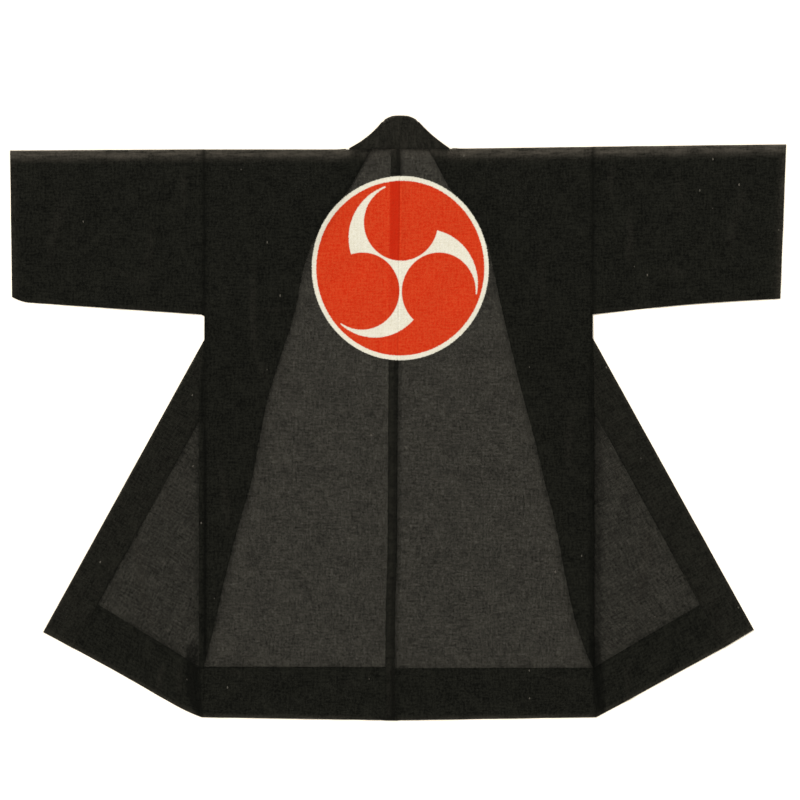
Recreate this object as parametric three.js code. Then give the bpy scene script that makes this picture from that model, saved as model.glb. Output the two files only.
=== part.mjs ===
// A hanten, a short unlined summer coat of sheer black cloth, laid flat with its back up and both fronts folded outward
// beneath it. Millimetres, +Z up, the collar towards +Y, the hem towards -Y. The part rests on z = 0.
//
// A point of the garment is given by `out`, its distance from the centre-back seam, and `down`, its distance below the
// shoulder fold. Each cloth piece is one sheet of one wall: a net of points with a normal each, folded over itself at the
// shoulder, the crease and the hem, and thickened by half the wall to either side.
import * as THREE from "three";

// ---------------------------------------------------------------- driving sizes
const WALL = 1.0; // the cloth
const COLLAR_WALL = 2.0; // the collar, a strip folded double over its own turnings
const GAP = 0.3; // between pieces at a seam, and between layers that lie on each other
const STEP = WALL + GAP; // one layer of cloth to the next
const LENGTH = 964; // shoulder fold to hem
const HEM_DIP = 4; // the back hem hangs this much lower at the centre than at the sides
const TURN_UP = 84; // depth of the hem that is turned to the inside
const NECK_OUT = 88; // centre back to the neck point, where shoulder fold and collar seam meet
const FOLD_START = 98; // below the neck point the front begins to fold back on itself here
const FOLD_END = 878; // and here that fold has run out into the side seam
const COLLAR_WIDE = 58; // collar seam to the collar's free edge
const SETTLE_FROM = 50, // upper layers come down to the surface between these distances from what lifts them
  SETTLE_TO = 112;

// The two halves of the garment as they lie: all in mm from the centre-back seam (out) and the shoulder fold (down).
const HALVES = [
  {
    side: "left", sign: -1,
    bodyOut: 329, hemOut: 336, // side seam, and where it meets the hem
    shoulderLift: 0, cuffLift: -2, // how far the shoulder and the cuff's top lie above down = 0
    armholeDeep: 278, cuffDeep: 250, cornerOut: 630, cornerDeep: 260, // underarm, cuff and the corner cut off between them
    cuffTopOut: 657, cuffLowOut: 655,
    armpit: { out: 329, down: 323 }, wingTip: { out: 601, down: 818 }, // the free collar edge leaves the body, and ends
    seamTip: { out: 550, down: 845 }, // the collar seam at the hem
  },
  {
    side: "right", sign: 1,
    bodyOut: 327, hemOut: 336,
    shoulderLift: 3, cuffLift: 8,
    armholeDeep: 279, cuffDeep: 252, cornerOut: 640, cornerDeep: 254,
    cuffTopOut: 657, cuffLowOut: 647,
    armpit: { out: 327, down: 325 }, wingTip: { out: 601, down: 813 },
    seamTip: { out: 550, down: 840 },
  },
];

// Sections across the body. `left` and `right` say how far out the inner edge of the front lies in that section: the
// collar seam down to FOLD_START, and from there the crease where the front turns outward beneath itself.
const SECTIONS = [
  { down: 0, left: 88, right: 88 },
  { down: 35, left: 102, right: 102 },
  { down: 70, left: 117, right: 117 },
  { down: 98, left: 128, right: 128 },
  { down: 145, left: 144, right: 147 },
  { down: 200, left: 162, right: 160 },
  { down: 275, left: 176, right: 176 },
  { down: 345, left: 198, right: 193 },
  { down: 415, left: 220, right: 210 },
  { down: 485, left: 235, right: 229 },
  { down: 560, left: 249, right: 247 },
  { down: 640, left: 272, right: 267 },
  { down: 730, left: 295, right: 284 },
  { down: 810, left: 313, right: 303 },
  { down: 850, left: 321, right: 313 },
  { down: 878, left: 329, right: 327 },
];
const HEM_SECTIONS = [900, 925, 945, LENGTH]; // below the fold, down to the hem
const FACING_SECTIONS = [945, 915, LENGTH - TURN_UP]; // and back up the inside of the turned-up hem

// Where the collar turns over at the front of the neck, it fans out. A section for each row: `along` the collar seam from
// FOLD_START, and the free edge there. The first row is the fold itself.
const COLLAR_FAN = [
  { along: 0, freeOut: 45, freeDown: 0 },
  { along: 8, freeOut: 91, freeDown: 17 },
  { along: 30, freeOut: 142, freeDown: 54 },
  { along: 65, freeOut: 195, freeDown: 109 },
  { along: 140, freeOut: 249, freeDown: 187 },
];
// The collar at the back of the neck, from the centre to the slanting fold where it turns down to the front.
const COLLAR_BACK = [
  { seamOut: 0, freeOut: 0, rise: 56, height: 1.0 },
  { seamOut: 22, freeOut: 13, rise: 55, height: 3.2 },
  { seamOut: 42, freeOut: 19, rise: 54, height: 5.6 },
  { seamOut: 85, freeOut: 25, rise: 51, height: 5.6 },
];
const COLLAR_UNDER = 3.3; // mid-height of the collar where it lies between back and wing
const COLLAR_LOW = 1.0; // and on the surface
const BACK_OVER_COLLAR = 5.1; // mid-height of the back there
const FRONT_HIGH = 3.1; // mid-height of the front over the folded-out wing
const LOW = WALL / 2; // mid-height of cloth that lies on the surface

const ACROSS_FRONT = 6, // panels between side seam and crease
  ACROSS_WING = 5, // between crease and collar seam
  ACROSS_COLLAR = 4,
  ROUND = 4; // facets of a fold

// ---------------------------------------------------------------- small helpers
const lerp = (a, b, t) => a + (b - a) * t;
const mix = (a, b, t) => ({ out: lerp(a.out, b.out, t), down: lerp(a.down, b.down, t) });
const far = (a, b) => Math.hypot(a.out - b.out, a.down - b.down);
const ease = (t) => ((t = Math.min(1, Math.max(0, t))), t * t * (3 - 2 * t));

// A net of points in one sheet. `solid` thickens it and closes every edge that only one panel uses.
class Sheet {
  constructor(sign, wall) {
    this.sign = sign;
    this.wall = wall;
    this.points = [];
    this.panels = [];
  }
  // a point at (out, down, height) with a unit normal given the same way
  add(p, height, n = { out: 0, down: 0, up: 1 }) {
    this.points.push({ out: p.out, down: p.down, height, n });
    return this.points.length - 1;
  }
  place(i, push = 0) {
    const q = this.points[i];
    return new THREE.Vector3(
      this.sign * (q.out + push * q.n.out),
      -(q.down + push * q.n.down),
      q.height + push * q.n.up,
    );
  }
  normal(i) {
    const { n } = this.points[i];
    return new THREE.Vector3(this.sign * n.out, -n.down, n.up);
  }
  // a panel between neighbouring points, wound so that it faces along their normals
  panel(...corners) {
    const ring = corners.filter((c, k) => c !== corners[(k + 1) % corners.length]);
    if (ring.length < 3) return;
    const at = ring.map((c) => this.place(c));
    const facing = new THREE.Vector3();
    for (let k = 1; k + 1 < at.length; k++)
      facing.add(at[k].clone().sub(at[0]).cross(at[k + 1].clone().sub(at[0])));
    const wanted = ring.reduce((s, c) => s.add(this.normal(c)), new THREE.Vector3());
    this.panels.push(facing.dot(wanted) < 0 ? ring.reverse() : ring);
  }
  // all panels between successive rows of points
  join(rows, closed = false) {
    for (let i = 0; i + 1 < rows.length; i++)
      for (let j = 0; j + 1 < rows[i].length + (closed ? 1 : 0); j++) {
        const k = (j + 1) % rows[i].length;
        this.panel(rows[i][j], rows[i][k], rows[i + 1][k], rows[i + 1][j]);
      }
  }
  // rows of points round a fold from an upper row to the lower row beneath it; `toward` is the fold's outward direction in
  // plan, `face` is 1 where the sheet's normal is outside the fold and -1 where it is inside
  foldRows(upper, lower, toward, face, steps = ROUND) {
    const rows = [upper];
    for (let s = 1; s < steps; s++) {
      const a = Math.PI * (0.5 - s / steps);
      rows.push(
        upper.map((u, k) => {
          const hi = this.points[u], lo = this.points[lower[k]], d = toward(k);
          const r = (hi.height - lo.height) / 2;
          return this.add(
            { out: lerp(hi.out, lo.out, s / steps) + d.out * r * Math.cos(a), down: lerp(hi.down, lo.down, s / steps) + d.down * r * Math.cos(a) },
            (hi.height + lo.height) / 2 + r * Math.sin(a),
            { out: face * d.out * Math.cos(a), down: face * d.down * Math.cos(a), up: face * Math.sin(a) },
          );
        }),
      );
    }
    rows.push(lower);
    return rows;
  }
  solid() {
    const half = this.wall / 2, count = this.points.length;
    const at = [];
    for (const push of [half, -half])
      for (let i = 0; i < count; i++) at.push(...this.place(i, push).toArray());
    const faces = [], edges = new Map();
    for (const ring of this.panels) {
      for (let k = 1; k + 1 < ring.length; k++) {
        faces.push(ring[0], ring[k], ring[k + 1]);
        faces.push(count + ring[0], count + ring[k + 1], count + ring[k]);
      }
      ring.forEach((a, k) => {
        const b = ring[(k + 1) % ring.length];
        if (!edges.delete(b + "," + a)) edges.set(a + "," + b, [a, b]);
      });
    }
    for (const [a, b] of edges.values()) faces.push(b, a, count + a, b, count + a, count + b);
    return new THREE.BufferGeometry()
      .setAttribute("position", new THREE.Float32BufferAttribute(at, 3))
      .setIndex(faces);
  }
}
const UP = { out: 0, down: 0, up: 1 },
  FACE_DOWN = { out: 0, down: 0, up: -1 };

// ---------------------------------------------------------------- where things lie
// a point `along` the collar seam of the wing, from FOLD_START down to the hem
function seamPoint(h, along) {
  const start = { out: SECTIONS[3][h.side], down: FOLD_START };
  const bend = armpitSeam(h);
  const upper = far(start, bend), lower = far(bend, h.seamTip);
  const run = (along / (LENGTH - FOLD_START)) * (upper + lower);
  return run < upper ? mix(start, bend, run / upper) : mix(bend, h.seamTip, (run - upper) / lower);
}
// the collar seam beside the armpit, one collar's width inside the free edge
function armpitSeam(h) {
  const run = far(h.armpit, h.wingTip);
  const d = { out: (h.wingTip.out - h.armpit.out) / run, down: (h.wingTip.down - h.armpit.down) / run };
  return { out: h.armpit.out - d.down * COLLAR_WIDE, down: h.armpit.down + d.out * COLLAR_WIDE };
}
// the free edge of the hidden and the visible collar, as a line from the neck to the hem
const freeEdge = (h) => [
  ...COLLAR_FAN.map((r) => ({ out: r.freeOut, down: r.freeDown })),
  h.armpit,
  h.wingTip,
];
// 1 over the folded-out wing and near it, easing to 0 where nothing lies beneath
function lifted(h, p) {
  const line = freeEdge(h);
  let best = Infinity, outside = false;
  for (let k = 0; k + 1 < line.length; k++) {
    const a = line[k], b = line[k + 1];
    const t = Math.min(1, Math.max(0, ((p.out - a.out) * (b.out - a.out) + (p.down - a.down) * (b.down - a.down)) / far(a, b) ** 2));
    const q = mix(a, b, t), d = far(p, q);
    if (d < best) {
      best = d;
      outside = (b.out - a.out) * (p.down - a.down) - (b.down - a.down) * (p.out - a.out) < 0;
    }
  }
  return outside ? 1 - ease((best - SETTLE_FROM) / (SETTLE_TO - SETTLE_FROM)) : 1;
}
const frontHeight = (h, p) => LOW + (FRONT_HIGH - LOW) * lifted(h, p);
// the side seam: straight, then swinging out a little to the hem
const sideOut = (h, down) => lerp(h.bodyOut, h.hemOut, ease((down - 850) / (LENGTH - 850)));
const shoulderDown = (h, out) => -h.shoulderLift * Math.min(1, out / h.bodyOut);

// ---------------------------------------------------------------- body: back and front in one length over the shoulder
function body(h) {
  const s = new Sheet(h.sign, WALL);
  const bend = (FRONT_HIGH - LOW) / 2 + WALL / 2; // how far the crease's fold reaches beyond its layers
  const n = SECTIONS.length;
  const creaseOut = (i) => SECTIONS[i][h.side] + (i >= 3 ? bend : 0);

  // front, from the shoulder to where it has all folded outward
  const front = SECTIONS.map((row, i) => {
    const side = i === n - 1 ? creaseOut(i) : h.bodyOut;
    const points = [];
    for (let j = 0; j <= ACROSS_FRONT; j++) {
      const out = lerp(side, creaseOut(i), j / ACROSS_FRONT);
      const down = i === 0 ? shoulderDown(h, out) + STEP / 2 + WALL / 2 : row.down;
      points.push(i === n - 1 && j > 0 ? points[0] : s.add({ out, down }, frontHeight(h, { out, down }), FACE_DOWN));
    }
    return points;
  });

  // the part that has turned outward and lies on the surface, down to the hem
  const wingHeight = (down) => LOW + STEP * ease((down - 850) / 22);
  const wingRow = (down, height, from, n_) => {
    const seam = seamPoint(h, down - FOLD_START);
    const start = { out: from, down: down === LENGTH ? h.seamTip.down + (LENGTH - 3 - h.seamTip.down) : down };
    const reach = far(start, seam) || 1;
    const end = mix(start, seam, Math.max(0, 1 - 0.6 / reach));
    const points = [];
    for (let j = 0; j <= ACROSS_WING; j++) {
      const t = j / ACROSS_WING, p = mix(start, end, t);
      // the hem swings smoothly out of the back hem
      const sag = down > FOLD_END ? (14 * (down - FOLD_END) / (LENGTH - FOLD_END)) * t * (1 - t) ** 2 * 2 : 0;
      points.push(s.add({ out: p.out, down: p.down + sag }, height, n_));
    }
    return points;
  };
  const wing = [];
  for (let i = 3; i < n; i++) {
    const d = SECTIONS[i].down;
    if (i === 3) {
      const v = s.add({ out: creaseOut(3), down: d }, LOW, UP);
      wing.push(Array(ACROSS_WING + 1).fill(v));
    } else wing.push(wingRow(d, wingHeight(d), creaseOut(i), UP));
  }
  const creaseHi = front.slice(3).map((r) => r[ACROSS_FRONT]),
    creaseLo = wing.map((r) => r[0]);
  const turnAt = (k) => {
    const a = s.points[creaseHi[Math.max(0, k - 1)]], b = s.points[creaseHi[Math.min(creaseHi.length - 1, k + 1)]];
    const run = far(a, b);
    return { out: -(b.down - a.down) / run, down: (b.out - a.out) / run };
  };
  s.join(front);
  s.join(s.foldRows(creaseHi, creaseLo, turnAt, -1));

  const hemInset = STEP / 2 + WALL / 2;
  for (const d of HEM_SECTIONS)
    wing.push(wingRow(d === LENGTH ? d - hemInset : d, LOW + STEP, sideOut(h, d) + 0.5, UP));
  const wingFacing = FACING_SECTIONS.map((d) => wingRow(d, LOW, sideOut(h, d) + 0.9, FACE_DOWN));
  const wingHemLow = s.points.length && wing.at(-1).map((u) => s.add(s.points[u], LOW, FACE_DOWN));
  const hemSlope = { out: h.seamTip.out - h.hemOut, down: h.seamTip.down - LENGTH };
  const hemRun = Math.hypot(hemSlope.out, hemSlope.down);
  const hemTurn = () => ({ out: -hemSlope.down / hemRun, down: hemSlope.out / hemRun });
  s.join(wing);
  s.join(s.foldRows(wing.at(-1), wingHemLow, hemTurn, 1));
  s.join([wingHemLow, ...wingFacing]);

  // back, over all of it, and down onto the surface between the two creases
  const rows = [...SECTIONS, ...HEM_SECTIONS.map((down) => ({ down, left: 300, right: 300 }))];
  const foldLine = (down) => lerp(COLLAR_FAN[0].freeOut, SECTIONS[3][h.side], down / FOLD_START);
  const backRow = (down, edge, i, inHem) => {
    const inner = i < 3 ? Math.min(edge - 1.5, foldLine(down)) : edge - 1.5;
    const stations = [];
    for (let j = 0; j <= ACROSS_FRONT; j++) stations.push({ out: lerp(sideOut(h, down), edge, j / ACROSS_FRONT), over: 1 });
    if (i > 3) stations[0].out = sideOut(h, down);
    stations.push({ out: inner, over: 1 }, { out: inner - 3, over: 1 }, { out: inner - 28, over: 0 });
    stations.push({ out: (inner - 28) / 2, over: 0 }, { out: GAP / 2, over: 0 });
    const fade = 1 - ease((down - FOLD_END - 4) / 42);
    return stations.map(({ out, over }, j) => {
      const y = inHem ? down + HEM_DIP * (1 - out / sideOut(h, down)) * ease((down - 850) / 114) : down;
      const p = { out, down: y };
      const onCollar = i <= 3 && j >= ACROSS_FRONT;
      const high = onCollar ? BACK_OVER_COLLAR : frontHeight(h, p) + STEP;
      const base = LOW + STEP * ease((down - 842) / 20);
      return { p, height: Math.max(base, lerp(base, high, over * fade)) };
    });
  };
  const back = rows.map((row, i) => {
    const edge = i < n ? Math.min(row[h.side], 300) : 300;
    const down = row.down === LENGTH ? LENGTH - hemInset : row.down;
    return backRow(down, edge, i, true).map(({ p, height }, j) => {
      if (i === 0) p.down = j <= ACROSS_FRONT ? shoulderDown(h, p.out) + STEP / 2 + WALL / 2 : GAP / 2;
      return s.add(p, height, UP);
    });
  });
  const backHemLow = back.at(-1).map((u) => s.add(s.points[u], LOW, FACE_DOWN));
  const backFacing = FACING_SECTIONS.map((d) =>
    backRow(d, 300, n, true).map(({ p }) => s.add({ out: Math.min(p.out, sideOut(h, d) - 0.4), down: p.down }, LOW, FACE_DOWN)),
  );
  s.join(back);
  s.join(s.foldRows(back.at(-1), backHemLow, () => ({ out: 0, down: 1 }), 1));
  s.join([backHemLow, ...backFacing]);
  // the shoulder, which is a fold and has no seam
  s.join(s.foldRows(back[0].slice(0, ACROSS_FRONT + 1), front[0], () => ({ out: 0, down: -1 }), 1));
  return s.solid();
}

// ---------------------------------------------------------------- sleeve: one width folded along its top, closed beneath
function sleeve(h) {
  const s = new Sheet(h.sign, WALL);
  const near = h.bodyOut + GAP;
  const stations = [near, near + 45, near + 95, near + 150, near + 205, near + 255, h.cornerOut, h.cuffTopOut];
  const layers = [0, 0.2, 0.42, 0.64, 0.84, 1];
  const rings = stations.map((out, k) => {
    const last = k === stations.length - 1;
    const t = (out - near) / (h.cuffTopOut - near);
    const top = -lerp(h.shoulderLift, h.cuffLift, t) + STEP / 2 + WALL / 2;
    const deep = last ? h.cuffDeep : lerp(h.armholeDeep, h.cornerDeep, (out - near) / (h.cornerOut - near));
    const low = deep - STEP / 2 - WALL / 2;
    const at = (f) => ({ out: last ? lerp(h.cuffTopOut, h.cuffLowOut, f) : out, down: lerp(top, low, f) });
    const upper = layers.map((f) => s.add(at(f), frontHeight(h, at(f)) + STEP, UP));
    const lower = layers.map((f) => s.add(at(f), frontHeight(h, at(f)), FACE_DOWN));
    const turn = (a, b, d) => s.foldRows([a], [b], () => d, 1).slice(1, -1).map((r) => r[0]);
    const below = turn(upper.at(-1), lower.at(-1), { out: 0, down: 1 });
    const above = turn(upper[0], lower[0], { out: 0, down: -1 }).reverse();
    return [...upper, ...below, ...lower.reverse(), ...above];
  });
  s.join(rings, true);
  return s.solid();
}

// ---------------------------------------------------------------- collar: one strip, hem to neck to hem
function collar() {
  const s = new Sheet(1, COLLAR_WALL);
  const reach = (COLLAR_BACK.at(-1).height - COLLAR_UNDER) / 2 + COLLAR_WALL / 2; // of a fold beyond its layers
  const strip = (sign, a, b, height, n) => {
    const row = [];
    for (let j = 0; j <= ACROSS_COLLAR; j++) {
      const p = mix(a, b, j / ACROSS_COLLAR);
      row.push(s.add({ out: sign * p.out, down: p.down }, height, n));
    }
    return row;
  };
  const half = (h, centre) => {
    // at the back of the neck, right side up
    const top = [centre];
    const backRows = COLLAR_BACK.slice(1);
    backRows.forEach((r, k) => {
      const last = k === backRows.length - 1;
      const inset = last ? reach : 0; // keeps the fold's outside on the stated line
      top.push(strip(h.sign, { out: r.seamOut - inset * 0.64, down: -GAP + inset * 0.3 - (last ? 0.8 : 0) }, { out: r.freeOut - inset * 0.64, down: -r.rise + inset * 0.77 }, r.height, UP));
    });
    // turned down to the front, between the back and the wing
    const under = [top.at(-1).map((u) => s.add(s.points[u], COLLAR_UNDER, FACE_DOWN))];
    const seam0 = { out: NECK_OUT - 0.5, down: 4 };
    const seam1 = { out: SECTIONS[3][h.side] - 4, down: FOLD_START - 7 };
    const free1 = { out: COLLAR_FAN[0].freeOut + reach * 0.76, down: COLLAR_FAN[0].freeDown + reach * 0.65 };
    const free0 = { out: COLLAR_BACK.at(-1).freeOut, down: -COLLAR_BACK.at(-1).rise };
    for (const t of [0.12, 0.4, 0.7, 1])
      under.push(strip(h.sign, mix(seam0, seam1, t), mix(free0, free1, t), COLLAR_UNDER, FACE_DOWN));
    // turned outward and lying on the surface, fanning to its full width and then straight to the hem
    const fold = under.at(-1).map((u) => s.add(s.points[u], COLLAR_LOW, UP));
    const low = [fold];
    const offSeam = (along) => {
      const p = seamPoint(h, along), q = seamPoint(h, along + 6), run = far(p, q);
      const gap = GAP + Math.max(0, 5 * (1 - along / 65)); // eased away from the corner where the front's own fold begins
      return { out: p.out + ((q.down - p.down) / run) * gap, down: p.down - ((q.out - p.out) / run) * gap };
    };
    for (const r of COLLAR_FAN.slice(1))
      low.push(strip(h.sign, offSeam(r.along), { out: r.freeOut, down: r.freeDown }, COLLAR_LOW, UP));
    const atArmpit = (far({ out: SECTIONS[3][h.side], down: FOLD_START }, armpitSeam(h)) / (far({ out: SECTIONS[3][h.side], down: FOLD_START }, armpitSeam(h)) + far(armpitSeam(h), h.seamTip))) * (LENGTH - FOLD_START);
    for (let k = 0; k <= 6; k++) {
      const along = lerp(atArmpit, LENGTH - FOLD_START - 0.01, k / 6);
      low.push(strip(h.sign, k === 6 ? { out: h.seamTip.out + GAP * 0.87, down: h.seamTip.down - GAP * 0.48 } : offSeam(along), mix(h.armpit, h.wingTip, k / 6), COLLAR_LOW, UP));
    }
    const across = (rowA) => {
      const a = s.points[rowA[0]], b = s.points[rowA.at(-1)], run = far(a, b);
      return { out: (b.down - a.down) / run, down: -(b.out - a.out) / run };
    };
    const d1 = across(top.at(-1)), d2 = across(fold);
    const firstTurn = h.sign < 0 ? d1 : { out: -d1.out, down: -d1.down };
    const secondTurn = h.sign < 0 ? { out: -d2.out, down: -d2.down } : d2;
    s.join(top);
    s.join(s.foldRows(top.at(-1), under[0], () => firstTurn, 1));
    s.join(under);
    s.join(s.foldRows(under.at(-1), fold, () => secondTurn, -1));
    s.join(low);
  };
  const r = COLLAR_BACK[0];
  const centre = strip(1, { out: 0, down: -GAP }, { out: 0, down: -r.rise }, r.height, UP);
  for (const h of HALVES) half(h, centre);
  return s.solid();
}

// ---------------------------------------------------------------- the garment
const cloth = () => new THREE.MeshStandardMaterial({ color: 0x1b1b17, roughness: 0.92, metalness: 0 });
const garment = new THREE.Group();
function piece(name, geometry) {
  geometry.computeVertexNormals();
  const mesh = new THREE.Mesh(geometry, cloth());
  mesh.name = name;
  garment.add(mesh);
}
for (const h of HALVES) {
  piece("body_" + h.side, body(h));
  piece("sleeve_" + h.side, sleeve(h));
}
piece("collar", collar());

// the origin is under the middle of the laid-out coat, on the surface that it lies on
const box = new THREE.Box3().setFromObject(garment);
garment.position.set(-(box.min.x + box.max.x) / 2, -(box.min.y + box.max.y) / 2, -box.min.z);
garment.updateMatrixWorld(true);

export default garment;
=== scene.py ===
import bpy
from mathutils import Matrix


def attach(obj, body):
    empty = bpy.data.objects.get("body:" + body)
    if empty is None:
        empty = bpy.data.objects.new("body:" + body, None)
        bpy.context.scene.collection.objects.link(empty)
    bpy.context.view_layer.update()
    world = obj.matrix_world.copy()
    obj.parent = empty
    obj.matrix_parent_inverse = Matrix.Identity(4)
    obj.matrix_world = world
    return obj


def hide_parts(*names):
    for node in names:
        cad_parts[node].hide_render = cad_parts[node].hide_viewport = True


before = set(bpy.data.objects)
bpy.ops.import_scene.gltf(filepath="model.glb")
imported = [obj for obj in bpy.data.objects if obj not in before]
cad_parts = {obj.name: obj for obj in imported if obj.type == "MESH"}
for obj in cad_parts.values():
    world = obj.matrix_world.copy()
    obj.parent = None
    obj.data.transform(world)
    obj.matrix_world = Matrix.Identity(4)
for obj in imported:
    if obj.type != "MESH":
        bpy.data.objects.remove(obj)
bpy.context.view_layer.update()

import math

import bpy
import numpy as np

# ------------------------------------------------------------------------------------------------ sizes
SHIFT_Y = 455.999  # the shoulder fold's place along +Y, in mm
CLOTH = 0.34  # thickness of the cloth
LOW = 0.26  # mid-height of cloth on the surface
LAYER = 0.50  # one layer of cloth to the next
LENGTH = 962.8
HEM_DIP = 5.2
TURN_UP = {"left": 86.0, "right": 84.0}
FOLD_START, FOLD_END = 98.0, 878.0
SEAM_START = 127.0  # how far out the wing's collar seam starts, at FOLD_START
COLLAR_WIDE = 58.0
FRONT_HIGH = 1.62  # mid-height of the front over the folded-out collar
COLLAR_LOW = 0.66  # mid-plane of the folded collar on the surface
COLLAR_HALF = 0.40  # each wall of the collar lies this far from that mid-plane
COLLAR_UNDER = 1.95
BACK_OVER_COLLAR = 2.95
CENTRE_TURNING = 16.0  # width of the centre-back turnings, both laid to the left
FINE = 5.0  # mesh spacing

HALVES = {
    "left": dict(sign=-1, body=329.0, swell=9.0, hem=334.0, shoulder_lift=0.0, cuff_lift=-2.0, armhole=280.5, cuff=250.5,
                 corner_out=630.0, corner=260.0, cuff_top=658.5, cuff_low=655.0, armpit=(329.0, 323.0), dip=0.8,
                 wing_tip=(602.0, 818.5), seam_tip=(551.0, 846.0)),
    "right": dict(sign=1, body=329.0, swell=2.0, hem=335.0, shoulder_lift=4.5, cuff_lift=8.5, armhole=280.1, cuff=253.0,
                  corner_out=640.0, corner=254.4, cuff_top=657.0, cuff_low=647.0, armpit=(330.0, 322.0), dip=0.15,
                  wing_tip=(602.0, 814.5), seam_tip=(551.0, 845.0)),
}
# down, and how far out the front's inner edge lies on the left and on the right
EDGE = np.array([
    (0, 88, 88), (35, 101, 101), (70, 113, 114), (98, 122, 124), (145, 142, 146), (200, 161, 160), (275, 176, 176),
    (345, 198, 193), (415, 220, 210), (485, 235, 229), (560, 249, 247), (640, 272, 267), (730, 295, 284),
    (810, 313, 303), (850, 323, 317), (878, 331, 329),
], float)
# the collar's fan where it turns over: along the seam, free edge out, free edge down
FAN = np.array([(0, 45, 0), (8, 91, 17), (30, 142, 54), (65, 195, 109), (140, 249, 187)], float)
# the collar at the back of the neck: seam out, free-edge out, rise, height
NECK = np.array([
    (0, 0, 57.0, 0.66), (10, 7.5, 56.8, 0.9), (20, 15, 55.8, 1.7), (32, 22.5, 53.0, 2.7), (44, 27.5, 50.0, 3.25), (85, 31.5, 45.5, 3.25),
], float)


def clamp01(t):
    return np.clip(t, 0.0, 1.0)


def ease(t):
    t = clamp01(t)
    return t * t * (3 - 2 * t)


def smooth_table(x, xs, ys):
    """A smooth curve through the table's rows."""
    m = np.gradient(ys, xs)
    x = np.clip(x, xs[0], xs[-1])
    i = np.clip(np.searchsorted(xs, x) - 1, 0, len(xs) - 2)
    h = xs[i + 1] - xs[i]
    t = (x - xs[i]) / h
    return ((2 * t**3 - 3 * t**2 + 1) * ys[i] + (t**3 - 2 * t**2 + t) * h * m[i]
            + (-2 * t**3 + 3 * t**2) * ys[i + 1] + (t**3 - t**2) * h * m[i + 1])


def edge_out(side, down):
    col = 1 if side == "left" else 2
    down = np.asarray(down, float)
    upper = np.interp(down, EDGE[:4, 0], EDGE[:4, col])
    lower = smooth_table(down, EDGE[3:, 0], EDGE[3:, col])
    return np.where(down < FOLD_START, upper, lower)


def side_out(h, down):
    """The side seam: straight to the armpit, then a little further out, and in again to the hem."""
    down = np.asarray(down, float)
    swell = h["body"] + h["swell"] * ease((down - 318) / 90)
    return swell + (h["hem"] - h["body"] - h["swell"]) * ease((down - 880) / (LENGTH - 880))


def fold_highlight(down):
    """Painted highlight along the rounded shoulder fold: a pale crest, a darker line below it, then a band that dies
    away.
    """
    return np.interp(down, [0, 1.8, 3.4, 5.6, 7.6, 10, 13, 17, 23], [1.45, 1.20, 0.66, 0.95, 0.86, 0.78, 0.50, 0.20, 0.0])


def drawn_in(out, down):
    """How much further in the folded fronts lie behind the crest than a straight fold would."""
    line = np.interp(down, [20, 98, 145, 200], [64, 122, 144, 160])
    run = ease((down - 20) / 75) * (1 - ease((down - 95) / 75))
    return 13 * run * (1 - ease((line - out - 2) / 45)) * (1 - ease((out - line - 2) / 90))


def armpit_seam(h):
    a, b = np.array(h["armpit"]), np.array(h["wing_tip"])
    d = (b - a) / np.linalg.norm(b - a)
    return a + COLLAR_WIDE * np.array([-d[1], d[0]])


def seam_point(side, along):
    """A point of the wing's collar seam, from FOLD_START down to the hem."""
    h = HALVES[side]
    a = np.array([SEAM_START, FOLD_START])
    b = armpit_seam(h)
    c = np.array(h["seam_tip"])
    ab, bc = np.linalg.norm(b - a), np.linalg.norm(c - b)
    run = np.asarray(along, float) / (LENGTH - FOLD_START) * (ab + bc)
    t, u = clamp01(run / ab)[..., None], clamp01((run - ab) / bc)[..., None]
    return a + (b - a) * t + (c - b) * u


def seg_distance(p, a, b):
    """Distance from points to a segment, the share along it, and the side."""
    d = b - a
    t = clamp01(((p - a) @ d) / (d @ d))
    q = a + t[..., None] * d
    cross = d[0] * (p[..., 1] - a[1]) - d[1] * (p[..., 0] - a[0])
    return np.linalg.norm(p - q, axis=-1), t, cross


def lifted(side, p, near=3.0, gone=34.0):
    """1 over the folded-out wing and collar, easing to 0 where nothing lies beneath."""
    h = HALVES[side]
    line = [np.array(r[1:]) for r in FAN] + [np.array(h["armpit"]), np.array(h["wing_tip"])]
    best = np.full(p.shape[:-1], 1e9)
    outside = np.zeros(p.shape[:-1], bool)
    for a, b in zip(line, line[1:]):
        dist, _, cross = seg_distance(p, a, b)
        closer = dist < best
        best = np.where(closer, dist, best)
        outside = np.where(closer, cross < 0, outside)
    return np.where(outside, 1 - ease((best - near) / (gone - near)), 1.0)
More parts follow.
